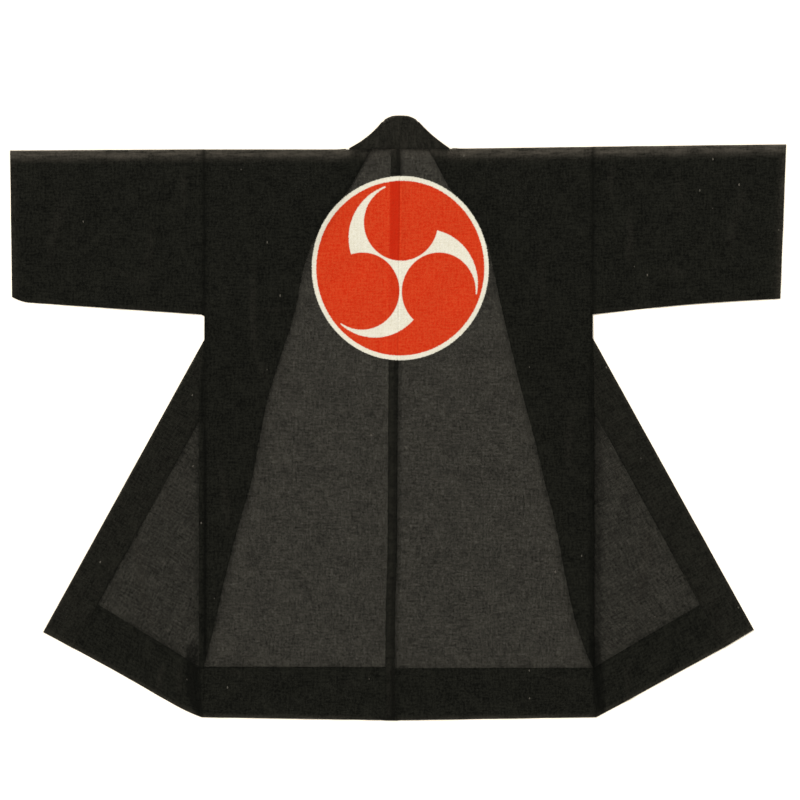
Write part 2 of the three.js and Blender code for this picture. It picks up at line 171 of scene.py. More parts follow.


# ------------------------------------------------------------------------------------------------ creases and waves
# Soft ridges, placed as they lie in the cloth: ends in mm right of the centre back and below the shoulder,
# half-width, height.
RIDGES = [
    ((-445, 655), (-436, 740), 9, 2.6), ((-436, 740), (-412, 806), 8, 2.0),  # left wing
    ((-520, 742), (-470, 700), 12, 1.2), ((-392, 560), (-378, 640), 10, 1.3),
    ((422, 648), (405, 768), 9, 2.6), ((405, 768), (398, 812), 7, 1.5),  # right wing
    ((505, 745), (470, 690), 12, 1.2), ((372, 520), (384, 600), 9, 1.2),
    ((391, 98), (389, 195), 6, 1.9), ((364, 18), (362, 90), 6, 1.4), ((470, 30), (478, 120), 9, 1.1),  # right sleeve
    ((590, 60), (560, 190), 12, 1.2), ((430, 200), (520, 225), 9, 0.9),
    ((-360, 22), (-362, 110), 7, 1.1), ((-420, 120), (-430, 215), 10, 1.0), ((-560, 70), (-590, 190), 12, 1.2),  # left sleeve
    ((-500, 205), (-420, 232), 9, 0.9),
    ((-244, 185), (-243, 345), 7, 1.6), ((-235, 275), (-178, 277), 7, 1.1), ((-240, 350), (-215, 400), 7, 1.2),  # left side
    ((240, 160), (246, 300), 8, 1.1), ((300, 420), (286, 560), 8, 1.1), ((-305, 520), (-290, 660), 8, 1.2),
    ((-120, 480), (-100, 640), 14, 0.8), ((95, 520), (120, 700), 14, 0.8), ((150, 700), (170, 830), 10, 0.8),  # back
    ((-60, 640), (-75, 820), 12, 0.7), ((40, 420), (52, 520), 10, 0.7),
    ((-300, 880), (-240, 905), 8, 1.0), ((250, 892), (310, 900), 8, 1.0), ((-120, 905), (-40, 915), 9, 0.8),  # back hem
    ((-395, 868), (-405, 925), 6, 1.7), ((-372, 870), (-375, 936), 5, 1.4), ((388, 872), (392, 930), 6, 1.4),  # wing hems
]
SEED = np.random.RandomState(7)
WAVES = [(SEED.uniform(0.004, 0.02), SEED.uniform(0, math.pi), SEED.uniform(0, 6.28)) for _ in range(14)]


def ridges(x, down):
    """Height in mm of the creases."""
    p = np.stack([x, down], -1)
    z = np.zeros_like(x)
    for k, (a, b, wide, high) in enumerate(RIDGES):
        a, b = np.array(a, float), np.array(b, float)
        d, t, cross = seg_distance(p, a, b)
        run = np.linalg.norm(b - a)
        bow = np.sin(t * math.pi) * wide * (0.5 if k % 2 else -0.4)  # each ridge is a little bowed
        d2 = np.abs(cross / run - bow)
        d = np.where((t > 0) & (t < 1), d2, np.hypot(d2, 0) + np.maximum(0, d - np.abs(cross / run)))
        taper = np.sin(math.pi * np.clip(0.12 + 0.76 * t, 0, 1))
        z += high * taper * np.exp(-(d / wide) ** 2)
    return z


def relief(x, down):
    """Height in mm that the cloth stands above lying quite flat, the same for every layer of one place."""
    soft = np.zeros_like(x)
    for k, (f, angle, phase) in enumerate(WAVES):
        soft += np.sin(2 * math.pi * f * (x * math.cos(angle) + down * math.sin(angle)) + phase) / (1 + 60 * f)
    return ridges(x, down) + 0.16 * np.maximum(0, 3.0 + soft)


def centre_shift(x, down):
    """The centre-back seam isn't quite straight: it drifts to the left on its way down."""
    drift = np.interp(down, [-60, -25, 0, 20, 365, 480, 680, 730, 780, 860, 970], [1.5, 3.5, 3.0, 3.2, -0.8, -1.7, -2.5, -4.2, -6.0, -6.6, -5.5])
    return drift * (1 - ease(np.abs(x) / 160))


# ------------------------------------------------------------------------------------------------ sheets
class Sheet:
    """A net of points with normals. Every point keeps its place on the flat cloth (cut), how pale it is (rubbed cloth,
    and painted highlight along the shoulder fold and the crease tops) and how much painted shade it holds along seams,
    turnings, edges and creases (seam).
    """

    def __init__(self, sign):
        self.sign, self.p, self.n, self.cut, self.wear, self.seam, self.quads = sign, [], [], [], [], [], []
        self.count = 0

    def add(self, out, down, z, n=(0, 0, 1), cut=None, wear=0.0, seam=0.0):
        """Adds a row of points and returns their numbers."""
        out, down, z, wear, seam = np.broadcast_arrays(*[np.asarray(v, float) for v in (out, down, z, wear, seam)])
        k = out.size
        self.p.append(np.stack([out.ravel(), down.ravel(), z.ravel()], -1))
        self.n.append(np.broadcast_to(np.asarray(n, float), out.shape + (3,)).reshape(-1, 3))
        c = (out, down) if cut is None else cut
        c = np.broadcast_arrays(*[np.asarray(v, float) for v in (*c, out)])[:2]
        self.cut.append(np.stack([c[0].ravel(), c[1].ravel()], -1))
        self.wear.append(wear.ravel())
        self.seam.append(seam.ravel())
        ids = np.arange(self.count, self.count + k).reshape(out.shape)
        self.count += k
        return ids

    def join(self, rows, closed=False):
        rows = np.asarray(rows)
        nxt = np.roll(rows, -1, axis=1) if closed else rows[:, 1:]
        cur = rows if closed else rows[:, :-1]
        self.quads.append(np.stack([cur[:-1], nxt[:-1], nxt[1:], cur[1:]], -1).reshape(-1, 4))

    def pack(self):
        self.P, self.N = np.concatenate(self.p), np.concatenate(self.n)
        self.C, self.W, self.S = np.concatenate(self.cut), np.concatenate(self.wear), np.concatenate(self.seam)
        self.p, self.n, self.cut, self.wear, self.seam = [self.P], [self.N], [self.C], [self.W], [self.S]

    def fold(self, upper, lower, toward, face, steps=6):
        """Rows round a fold from an upper row down to a lower one. toward is (out, down) for each point."""
        self.pack()
        up, lo = self.P[upper], self.P[lower]
        toward = np.broadcast_to(np.asarray(toward, float), (len(upper), 2))
        r, mid = (up[:, 2] - lo[:, 2]) / 2, (up[:, 2] + lo[:, 2]) / 2
        rows = [upper]
        for s in range(1, steps):
            a, t = math.pi * (0.5 - s / steps), s / steps
            xy = up[:, :2] * (1 - t) + lo[:, :2] * t + toward * (r * math.cos(a))[:, None]
            n = np.concatenate([face * toward * math.cos(a), np.full((len(upper), 1), face * math.sin(a))], 1)
            c = self.C[upper] * (1 - t) + self.C[lower] * t
            rows.append(self.add(xy[:, 0], xy[:, 1], mid + r * math.sin(a), cut=(c[:, 0], c[:, 1]),
                                 wear=self.W[upper] * (1 - t) + self.W[lower] * t, seam=self.S[upper] * (1 - t) + self.S[lower] * t))
            self.n[-1] = n
            self.pack()
        rows.append(lower)
        return rows

    def mesh(self, name, wall=CLOTH):
        """The closed shell: the net pushed half the wall to either side, with its free edges closed."""
        self.pack()
        q = np.concatenate(self.quads)
        rings = []
        P = self.P.copy()
        X = self.sign * P[:, 0]
        P3 = np.stack([X, -P[:, 1], P[:, 2]], -1)
        N3 = np.stack([self.sign * self.N[:, 0], -self.N[:, 1], self.N[:, 2]], -1)
        N3 /= np.linalg.norm(N3, axis=1)[:, None]
        # wind each panel along its points' normals
        a, b, c, d = (P3[q[:, i]] for i in range(4))
        g = np.cross(c - a, d - b)
        turn = (g * N3[q].sum(1)).sum(1) < 0
        q[turn] = q[turn][:, ::-1]
        lift = relief(P3[:, 0], -P3[:, 1])
        self.W = np.maximum(self.W, 0.10 * clamp01(ridges(P3[:, 0], -P3[:, 1]) / 1.3 - 0.25))  # painted highlight along the creases' tops
        P3[:, 2] += lift
        P3[:, 0] += centre_shift(P3[:, 0], -P3[:, 1])
        n = len(P3)
        faces, edges = [], {}
        for row in q.tolist():
            ring = [row[i] for i in range(4) if row[i] != row[(i + 1) % 4]]
            if len(ring) < 3:
                continue
            rings.append(ring)
            for i, v in enumerate(ring):
                w = ring[(i + 1) % len(ring)]
                if (w, v) in edges:
                    del edges[(w, v)]
                else:
                    edges[(v, w)] = True
        for ring in rings:
            faces.append(ring)
            faces.append([v + n for v in reversed(ring)])
        rim = []
        for v, w in edges:
            faces.append([w, v, v + n, w + n])
            rim += [(v, w), (v + n, w + n)]
        verts = np.concatenate([P3 + N3 * wall / 2, P3 - N3 * wall / 2])
        verts[:, 1] += SHIFT_Y
        verts[:, 2] = np.maximum(verts[:, 2], 0.04)
        used = np.zeros(2 * n, bool)
        used[np.concatenate([np.array(f) for f in faces])] = True
        new = np.cumsum(used) - 1
        me = bpy.data.meshes.new(name)
        me.from_pydata((verts[used] / 1000).tolist(), [], [[int(new[v]) for v in f] for f in faces])
        me.update()
        for key, kind, data in (
            ("cut", "FLOAT_VECTOR", np.concatenate([np.stack([self.sign * self.C[:, 0], self.C[:, 1], 0 * self.W], -1)] * 2)[used] / 1000),
            ("wear", "FLOAT", np.concatenate([self.W] * 2)[used]),
            ("seam", "FLOAT", np.concatenate([self.S] * 2)[used]),
        ):
            att = me.attributes.new(key, kind, "POINT")
            att.data.foreach_set("vector" if kind == "FLOAT_VECTOR" else "value", data.ravel().astype(np.float32))
        me.polygons.foreach_set("use_smooth", [True] * len(me.polygons))
        sharp = {tuple(sorted((int(new[v]), int(new[w])))) for v, w in rim}
        att = me.attributes.new("sharp_edge", "BOOLEAN", "EDGE")
        att.data.foreach_set("value", [tuple(sorted(e.vertices)) in sharp for e in me.edges])
        ob = bpy.data.objects.new(name, me)
        bpy.context.scene.collection.objects.link(ob)
        return ob


def spaced(a, b, fine=FINE, ends=()):
    """Values from a to b about `fine` apart, with closer ones given in `ends` after a and before b."""
    inner = [a + e for e in ends] + [b - e for e in reversed(ends)]
    lo, hi = (inner[len(ends) - 1], inner[len(ends)]) if ends else (a, b)
    k = max(1, int(round((hi - lo) / fine)))
    mid = list(np.linspace(lo, hi, k + 1))
    out = [a] + inner[: max(0, len(ends) - 1)] + mid + inner[len(ends) + 1:] + [b] if ends else mid
    return np.array(out)


def bell(x, at, wide):
    return np.exp(-(((x - at) / wide) ** 2))


# ------------------------------------------------------------------------------------------------ body
def hem_down(h, out, down):
    """The back hem hangs a little lower at the centre."""
    return down + HEM_DIP * (1 - clamp01(out / 330)) * ease((down - 850) / 114)


def wing_hem_dip(t, down):
    """The wing's hem swings smoothly out of the back hem."""
    return 13.0 * ease((down - FOLD_END) / (LENGTH - FOLD_END)) * t * (1 - t) ** 4 * 4.2


def body(side):
    h = HALVES[side]
    s = Sheet(h["sign"])
    left = side == "left"
    turn_up = LENGTH - TURN_UP[side]
    hem_in = 0.42  # the hem's fold reaches this far beyond its last row
    bend = 0.8

    downs = np.concatenate([
        [0.6, 2, 4, 6.5, 9, 11.5, 14, 17], spaced(21, FOLD_START, FINE), spaced(FOLD_START, FOLD_END, FINE)[1:],
        spaced(FOLD_END, LENGTH - 12, FINE)[1:], [LENGTH - 8, LENGTH - 5, LENGTH - 2.5, LENGTH - hem_in],
    ])
    i_start = int(np.argmin(abs(downs - FOLD_START)))
    i_end = int(np.argmin(abs(downs - FOLD_END)))

    def front_height(out, down):
        return LOW + (FRONT_HIGH - LOW) * lifted(side, np.stack([out, down], -1))


    def neck_height(out):
        """Mid-height of the collar's seam edge at the back of the neck, where the body's edge enters it."""
        return np.interp(out, NECK[:, 0], NECK[:, 3])

    def side_strip(out, d):
        """Where the side turnings in the hem lie towards the wing: painted shade darkens a strip there in place of the
        turnings themselves.
        """
        a = np.interp(d, [850, 930, 960], [340, 340, 334] if left else [324, 334, 340])
        b = np.interp(d, [828, 868, 930, 960], [341, 361, 361, 346] if left else [333, 344, 350, 350])
        return ease((out - a + 2) / 4) * (1 - ease((out - b + 2) / 4)) * ease((d - (846 if left else 832)) / 12)

    # ---- front: beneath the back, out to the crease
    nf = 40
    t = np.linspace(0, 1, nf + 1)
    front = []
    for i in range(i_end + 1):
        d = downs[i]
        crease = float(edge_out(side, d)) + (bend if i >= i_start else -2.2 + 3.0 * float(ease((d - FOLD_START + 14) / 14)))
        sideline = crease if i == i_end else float(side_out(h, d)) - 0.1
        out = sideline + (crease - sideline) * t
        lift = -h["shoulder_lift"] * clamp01(out / h["body"]) * (1 - ease(d / 60))
        # painted shade along the side seam
        seam = bell(out, float(side_out(h, d)), 5) * 0.8
        z = front_height(out, np.full_like(out, d))
        if i < i_start:  # its neck edge enters the collar
            z = z + (COLLAR_UNDER - z) * ease((crease + 8 - out) / 6) * ease((FOLD_START - d) / 20)
        ids = s.add(out, d + lift, z, (0, 0, -1), cut=(out, np.full_like(out, d)), wear=fold_highlight(d), seam=seam)
        if i == i_end:
            ids = np.full_like(ids, ids[-1])
        front.append(ids)
    s.join(front)

    # ---- the wing: what has turned outward, down to the hem
    nw = 46
    tw = np.linspace(0, 1, nw + 1)

    def wing_row(d, z, n, start_out, cut_down=None, into=2.2):
        """into is how far the cloth reaches into the collar past its seam."""
        seam_pt = seam_point(side, d - FOLD_START)
        start = np.array([start_out, d])
        reach = max(np.linalg.norm(seam_pt - start), 1e-6)
        into = min(into, reach * 0.3)
        p = start + (seam_pt - start) * (tw * (1 + into / reach))[:, None]
        dip = h["dip"] * wing_hem_dip(tw, d)
        flat = start_out + (127.0 - start_out) * tw if d > 160 else start_out - reach * tw
        paling = 0.26 * ease((d - (LENGTH - 9)) / 7)
        # painted shade along the side seam, the hem's side turnings, the collar seam and the turn-up line
        at_side = bell(tw * reach, 0, 7) * ease((d - 860) / 14) * 0.5 + side_strip(p[:, 0], d) * 0.75
        at_seam = bell((1 - tw) * reach, 0, 4) * 0.30 * (1 - 0.8 * ease((d - turn_up + 10) / 10))
        at_turn = bell(d, turn_up, 4) * 0.3
        # painted shade along the old creases
        crease_shade = 0.16 * clamp01(ridges(h["sign"] * p[:, 0], p[:, 1]) / 2.2)
        beside = p[:, 0] - float(side_out(h, d))  # shade beside the raised edge of the body
        shade = (0.34 * (1 - ease(beside / 15)) if left else 0.60 * (1 - ease((beside - 2) / 22))) * (1 - ease((d - 850) / 30))
        z = z + (COLLAR_LOW - z) * ease((tw - 1) * (reach / 7) + 1) * (into > 0)
        return s.add(p[:, 0], p[:, 1] + dip, z, n, cut=(flat, np.full_like(flat, d if cut_down is None else cut_down)),
                     wear=paling, seam=np.clip(at_side + at_seam + at_turn + shade + crease_shade, 0, 1))

    def wing_low(d):
        return LOW + LAYER * ease((d - (turn_up - 9)) / 8)

    wing = []
    for i in range(i_start, len(downs)):
        d = downs[i]
        if i == i_start:
            one = s.add([float(edge_out(side, d)) + bend], [d], LOW, (0, 0, 1))
            wing.append(np.full(nw + 1, one[0]))
            continue
        start = float(edge_out(side, d)) + bend if i <= i_end else float(side_out(h, d)) + bend * (1 - ease((d - FOLD_END) / 20)) - 0.5
        wing.append(wing_row(d, wing_low(d) - 0.03, (0, 0, 1), start))
    s.join(wing)
    hi = np.array([front[i][-1] for i in range(i_start, i_end + 1)])
    lo = np.array([wing[i - i_start][0] for i in range(i_start, i_end + 1)])
    s.pack()
    run = np.gradient(s.P[hi][:, :2], axis=0)
    run /= np.linalg.norm(run, axis=1)[:, None]
    s.join(s.fold(hi, lo, np.stack([-run[:, 1], run[:, 0]], -1), -1))
    # the turned-up hem of the wing
    tip = np.array(h["seam_tip"]) - np.array([h["hem"], LENGTH])
    tip /= np.linalg.norm(tip)
    s.pack()
    last = wing[-1]
    low = s.add(s.P[last, 0], s.P[last, 1], LOW, (0, 0, -1), cut=(s.C[last, 0], s.C[last, 1] + 0.6), wear=s.W[last], seam=s.S[last])
    s.join(s.fold(last, low, (-tip[1], tip[0]), 1))
    facing = [low]
    for d in spaced(LENGTH - 4, turn_up, FINE):
        facing.append(wing_row(d, LOW, (0, 0, -1), float(side_out(h, d)) - 0.2, cut_down=2 * LENGTH - d, into=-0.1))
    s.join(facing)

    # ---- back
    near = spaced(0, float(h["body"]), FINE)
    share = np.concatenate([np.linspace(0, 20, 6) / 329, near[5:] / 329])
    share = share / share[-1]
    share = share[::-1]  # from the side seam to the centre

    def band_lift(x):
        """The two turnings at the centre back lift the cloth above them."""
        return 2 * 0.42 * (1 - ease((x - CENTRE_TURNING) / 9)) if left else 2 * 0.42 * (1 - ease(x / 9))

    def under_collar(out, d):
        """1 where the turned-down collar lies beneath the back, near the neck."""
        inner = np.interp(d, [0, FOLD_START], [45, 128])
        outer = float(edge_out(side, min(d, FOLD_START)))
        return ease((out - inner + 3.5) / 2) * (1 - ease((out - outer - 3) / 14)) * (1 - ease((d - FOLD_START - 2) / 14))

    def back_height(out, d):
        crease = float(edge_out(side, d)) if d <= FOLD_END else 400.0
        if d < FOLD_START:
            crease = min(crease, float(np.interp(d, [0, FOLD_START], [45, 128])))
        moved = out + drawn_in(out, d) + 6.0 * np.sin(math.pi * clamp01((d - 1) / 94))
        over = 1 - ease((crease - 1.0 - moved) / 15)
        p = np.stack([out, np.full_like(out, d)], -1)
        high = LOW + (FRONT_HIGH - LOW) * lifted(side, p) + LAYER
        high = high + (BACK_OVER_COLLAR - high) * under_collar(moved, d)
        base = LOW + band_lift(out) + LAYER * ease((d - (turn_up - 9)) / 8)
        blend = 1 - ease((d - FOLD_END) / 24)
        return np.maximum(base, base + (high - base) * over * blend) if d <= FOLD_END + 24 else base

    back = []
    for i, d in enumerate(downs):
        sideline = float(side_out(h, d))
        out = 0.42 + (sideline - 0.42) * share
        lift = -h["shoulder_lift"] * clamp01(out / h["body"]) * (1 - ease(d / 60))
        dd = hem_down(h, out, d) + lift
        # painted shade along the side seam, the side turnings in the hem, the centre-back turnings and the hem's
        # turn-up line
        low_side = ease((d - 318) / 60) * (1 - ease((d - 850) / 25))
        line = sideline - 7 - 3 * ease((d - 450) / 50) if left else sideline - 2
        seam = bell(out, line, 3.4 if left else 6) * (1.0 if left else 0.8) * low_side
        seam = np.clip(seam + bell(out, sideline, 4) * 0.65 * (1 - low_side) + side_strip(out, d) * 0.75
                       + (bell(out, 3, 2.6) * 0.8 + 0.35 * (1 - ease((out - 15) / 4)) * ease((d - turn_up) / 8) if left else 0.5 * (1 - ease(out / 9))) + bell(d, turn_up, 3) * 0.3, 0, 1)
        # paler along the shoulder fold: painted highlight; paler at the hem: rubbed cloth
        paling = np.maximum(fold_highlight(d), 0.26 * ease((d - (LENGTH - 9)) / 7)) + 0 * out
        # at the neck its edge enters the collar
        neck = 1 - ease((out - 78) / 8)
        at_neck = neck * (1 - ease(d / 9))
        dd = dd - 4.5 * at_neck
        z = back_height(out, d)
        z = z + (neck_height(out) - z) * at_neck
        paling = paling * (1 - 0.55 * neck)
        if left:
            paling = np.maximum(paling, 0.08 * (1 - ease((out - CENTRE_TURNING + 2) / 3)))
        # the fold beneath shows as a soft edge of painted shade
        inner = float(edge_out(side, d)) if d >= FOLD_START else float(np.interp(d, [0, 17, 61, FOLD_START], [50, 60, 87, SEAM_START - 7]))
        if d <= FOLD_END:
            seam = np.clip(seam + 0.55 * (1 - ease((inner - out) / 9)) * (out < inner), 0, 1)
        # painted shade along the neck
        seam = np.clip(seam + 0.45 * neck * bell(d, 1, 9), 0, 1)
        back.append(s.add(out, dd, z, (0, 0, 1), cut=(out, -np.full_like(out, d)), wear=paling, seam=seam))
    s.join(back)
    s.pack()
    last = back[-1]
    low = s.add(s.P[last, 0], s.P[last, 1], LOW, (0, 0, -1), cut=(s.C[last, 0], s.C[last, 1] - 0.6), wear=s.W[last], seam=s.S[last])
    s.join(s.fold(last, low, (0, 1), 1))
    facing = [low]
    for d in spaced(LENGTH - 4, turn_up, FINE):
        out = 0.42 + (float(side_out(h, d)) - 0.6) * share
        # painted shade along the hem's turn-up line
        facing.append(s.add(out, hem_down(h, out, d), LOW, (0, 0, -1), cut=(out, -(2 * LENGTH - np.full_like(out, d))), seam=bell(d, turn_up, 3) * 0.3))
    s.join(facing)
    # the shoulder fold
    edge0 = float(edge_out(side, 0))
    s.pack()
    cols = [k for k in range(len(share)) if s.P[back[0][k], 0] >= edge0 - 1.0]
    # match the front's columns to the back's by a strip between the two rows
    u = s.P[back[0][cols]]
    z = front_height(u[:, 0], np.zeros(len(u)))
    lowrow = s.add(u[:, 0], u[:, 1], z, (0, 0, -1), cut=(u[:, 0], np.zeros(len(u))), wear=1.0)
    s.join(s.fold(back[0][cols], lowrow, (0, -1), 1))
    # the turned strip along the centre-back seam, beneath
    strip = []
    for i, d in enumerate(downs):
        hem = LAYER * ease((d - (turn_up - 9)) / 8)
        if left:
            out = np.linspace(0.42, CENTRE_TURNING, 5)
            zz = np.full(5, LOW + 0.42) + hem
            face = (0, 0, -1)
        else:
            out = np.concatenate([[-0.6, -2.0], -np.linspace(5, CENTRE_TURNING - 1.2, 4)])
            zz = np.array([LOW + 0.42, LOW + 0.04, LOW, LOW, LOW, LOW]) + hem
            face = (0, 0, 1)
        # painted shade along the centre-back seam
        strip.append(s.add(out, hem_down(h, np.abs(out), d) + (0.3 if i == 0 else 0), zz, face, cut=(-out if left else out, np.full(len(out), -d)),
                           wear=fold_highlight(d), seam=bell(out, 0, 3) * 0.6))
    s.join(strip)
    upper = np.array([r[-1] for r in back])
    lower = np.array([r[0] for r in strip])
    if left:
        s.join(s.fold(upper, lower, (-1, 0), 1, steps=4))
    else:
        s.join([upper, lower])
    s.pack()
    fronts = s.C[:, 1] > 0
    s.P[fronts, 0] -= drawn_in(s.P[fronts, 0], s.P[fronts, 1])
    return s


# ------------------------------------------------------------------------------------------------ sleeve
def sleeve(side):
    h = HALVES[side]
    s = Sheet(h["sign"])
    near = h["body"] - 0.5
    outs = np.concatenate([[near, near + 2, near + 4.5], spaced(near + 8, h["corner_out"], FINE), spaced(h["corner_out"], h["cuff_top"] - 4, 6)[1:],
                           [h["cuff_top"] - 2, h["cuff_top"]]])
    fr = np.concatenate([[0, 0.006, 0.014, 0.024, 0.034, 0.045, 0.058, 0.072], np.linspace(0.09, 0.97, 50), [0.982, 0.992, 1]])
    rows = []
    for out in outs:
        t = (out - near) / (h["cuff_top"] - near)
        past = clamp01((out - h["corner_out"]) / (h["cuff_top"] - h["corner_out"]))
        top = -(h["shoulder_lift"] + (h["cuff_lift"] - h["shoulder_lift"]) * t) + 0.45
        deep = h["armhole"] + (h["corner"] - h["armhole"]) * clamp01((out - near) / (h["corner_out"] - near))
        deep = deep + (h["cuff"] - h["corner"]) * past**1.6 - 0.45
        # the underarm corner is a little rounded
        deep += 2.5 * ease(1 - (out - near) / 6) if side == "left" else -3.0 * math.sin(math.pi * min(1.0, t / 0.96))
        down = top + (deep - top) * fr
        x = out - (h["cuff_top"] - h["cuff_low"]) * fr * ease((out - near) / (h["cuff_top"] - near))
        z = LOW - 0.04 + (FRONT_HIGH - LOW) * lifted(side, np.stack([x, down], -1))
        below = down - top
        # paler along the shoulder fold: painted highlight; paler at the cuff and the lower fold: rubbed cloth
        paling = fold_highlight(below)
        paling = paling * (0.7 + 0.3 * ease((out - near - 4) / 8))
        paling = np.maximum(paling, (0.16 if side == "left" else 0.26) * ease((out - h["cuff_top"] + 14) / 11))
        paling = np.maximum(paling, 0.12 * ease((fr - 0.97) / 0.03))
        # painted shade along the armhole seam and the lower fold
        seam = np.clip(bell(out, near, 4.5) * 0.85 + bell(fr, 1.0, 0.012) * 0.5, 0, 1)
        cut = (x, down)
        up = s.add(x, down, z + LAYER, (0, 0, 1), cut=(x, 1200 - down), wear=paling, seam=seam)
        lo = s.add(x, down, z, (0, 0, -1), cut=(x, 1200 + down), wear=paling, seam=seam)
        rows.append((up, lo))
    s.pack()
    ups, los = np.array([r[0] for r in rows]), np.array([r[1] for r in rows])
    s.join(ups)
    s.join(los)
    s.join(s.fold(ups[:, 0], los[:, 0], (0, -1), 1))
    s.join(s.fold(ups[:, -1], los[:, -1], (0, 1), 1))
    return s


# ------------------------------------------------------------------------------------------------ collar
def collar():
    s = Sheet(1)
    na = 13
    across = np.concatenate([[0, 0.02, 0.05], np.linspace(0.1, 0.9, na), [0.95, 0.98, 1]])

    def strip(sign, a, b, mid, half, flip, length, wear=0.0, seam=0.0):
        """Both walls of the folded strip across one section: lower wall from seam to free edge, round it, and back."""
        a, b = np.asarray(a, float), np.asarray(b, float)
        p = a + (b - a) * across[:, None]
        d = (b - a) / np.linalg.norm(b - a)
        edge_soft = np.sqrt(np.clip(1 - ((across - 0.97) / 0.03).clip(0) ** 2, 0, 1))
        # painted shade along the collar's seam
        at_seam = bell(across, 0, 0.07) * 0.3
        w = np.maximum(wear, 0.24 * ease((across - 0.88) / 0.12))
        wide = across * COLLAR_WIDE
        hh = half * (0.55 + 0.45 * edge_soft)
        lo = s.add(sign * p[:, 0], p[:, 1], mid - hh, (0, 0, -1), cut=(sign * (2000 + wide), np.full(len(wide), length)), wear=w, seam=np.clip(seam + at_seam, 0, 1))
        up = s.add(sign * p[:, 0], p[:, 1], mid + hh, (0, 0, 1), cut=(sign * (2120 - wide), np.full(len(wide), length)), wear=w, seam=np.clip(seam + at_seam, 0, 1))
        s.pack()
        r = half * 0.55
        tips = []
        for k, a_ in enumerate((-60, -30, 0, 30, 60)):
            an = math.radians(a_)
            tips.append(s.add([sign * (p[-1, 0] + d[0] * r * math.cos(an))], [p[-1, 1] + d[1] * r * math.cos(an)], mid + r * math.sin(an),
                              cut=(sign * 2060.0, np.ravel(length)[-1]), wear=w[-1]))
            s.n[-1] = np.array([[sign * d[0] * math.cos(an), d[1] * math.cos(an), math.sin(an)]])
            s.pack()
        ids = np.concatenate([lo, *tips, up[::-1]])
        return ids, flip

    def neck_line(u):
        """Section of the strip at the back of the neck, u from 0 at the centre to 1 at the slanting fold."""
        x = np.linspace(0, 1, len(NECK))
        vals = [np.interp(u, x, NECK[:, k]) for k in range(4)]
        return vals

    for side in ("right", "left"):
        h = HALVES[side]
        sign = h["sign"]
        col = 1 if side == "left" else 2
        corner = np.array([EDGE[3, col], FOLD_START])
        top = []
        total = 0.0
        us = np.linspace(0, 1, 26)
        for u in us:
            so, fo, rise, z = neck_line(u)
            paling = 0.15 + 0.32 * ease((across - 0.93) / 0.07)
            a = (so, -0.5)
            ids, _ = strip(sign, a, (fo, -rise), z, COLLAR_HALF, 0, sign * (so + (fo - so) * across), wear=paling)
            top.append(ids)
        if side == "right":
            centre = top[0]
        else:
            # both halves share the centre section; its walls run the same way
            top[0] = centre
        s.join(top)
        s.pack()
        # between back and wing: turned over, so the walls change places and the free edge comes round
        under = []
        seam0, seam1 = np.array([87.0, 3.0]), corner - np.array([3.2, 6.0])
        so, fo, rise, _ = NECK[-1]
        free0, free1 = np.array([fo, -rise]), np.array([50.0, 1.5])
        for k, u in enumerate(np.linspace(0, 1, 14)):
            a = seam0 + (seam1 - seam0) * u if k else np.array([so, -0.5])
            b = free0 + (free1 - free0) * u
            ids, _ = strip(sign, a, b, COLLAR_UNDER, COLLAR_HALF, 0, sign * (so + 95 * u))
            under.append(ids)
        s.join(under)
        # the slanting fold: upper wall of the top joins the lower wall beneath, and the inner walls join inside it
        s.pack()
        t_ids, u_ids = top[-1], under[0][::-1]
        d = s.P[t_ids[0]][:2] - s.P[t_ids[len(across) - 1]][:2]
        d = np.array([d[1], -d[0]]) / np.linalg.norm(d)
        if d[0] * sign < 0:
            d = -d
        fold_between(s, t_ids, u_ids, d)
        low = []
        for k, (along, fo, fd) in enumerate(FAN):
            if k == 0:
                a, b = seam1, free1
            else:
                gap = 0.3 + max(0.0, 4 * (1 - along / 65))
                p, q = seam_point(side, along), seam_point(side, along + 6)
                v = (q - p) / np.linalg.norm(q - p)
                a, b = p + gap * np.array([v[1], -v[0]]), np.array([fo, fd])
            low.append((a, b))
        arm = armpit_seam(h)
        start = np.array([EDGE[3, 1], FOLD_START])
        ab, bc = np.linalg.norm(arm - start), np.linalg.norm(np.array(h["seam_tip"]) - arm)
        v = (np.array(h["seam_tip"]) - arm) / bc
        offs = 0.3 * np.array([v[1], -v[0]])
        secs = []
        for (a0, b0), (a1, b1) in zip(low, low[1:] + [(arm + offs, np.array(h["armpit"]))]):
            n = max(2, int(round(np.linalg.norm(np.array(b1) - np.array(b0)) / 7)))
            for j in range(n):
                secs.append((np.array(a0) + (np.array(a1) - a0) * j / n, np.array(b0) + (np.array(b1) - b0) * j / n))
        n = int(round(bc / 6))
        tip = np.array(h["wing_tip"])
        for j in range(n + 1):
            secs.append((arm + offs + (np.array(h["seam_tip"]) - arm) * j / n, np.array(h["armpit"]) + (tip - np.array(h["armpit"])) * j / n))
        rows, length = [], 180.0
        for j, (a, b) in enumerate(secs):
            if j:
                length += np.linalg.norm((a + b) / 2 - (secs[j - 1][0] + secs[j - 1][1]) / 2)
            end = 0.35 * ease((j - len(secs) + 3) / 2)
            ids, _ = strip(sign, a, b, COLLAR_LOW, COLLAR_HALF, 0, sign * length, wear=np.maximum(end, 0.05))
            rows.append(ids)
        s.join(rows)
        s.pack()
        t_ids, u_ids = under[-1], rows[0][::-1]
        line = s.P[t_ids[0]][:2] - s.P[t_ids[len(across) - 1]][:2]
        d = np.array([line[1], -line[0]]) / np.linalg.norm(line)
        if d[0] * sign > 0:
            d = -d
        fold_between(s, t_ids, u_ids, d)
    shape_neck(s)
    return s


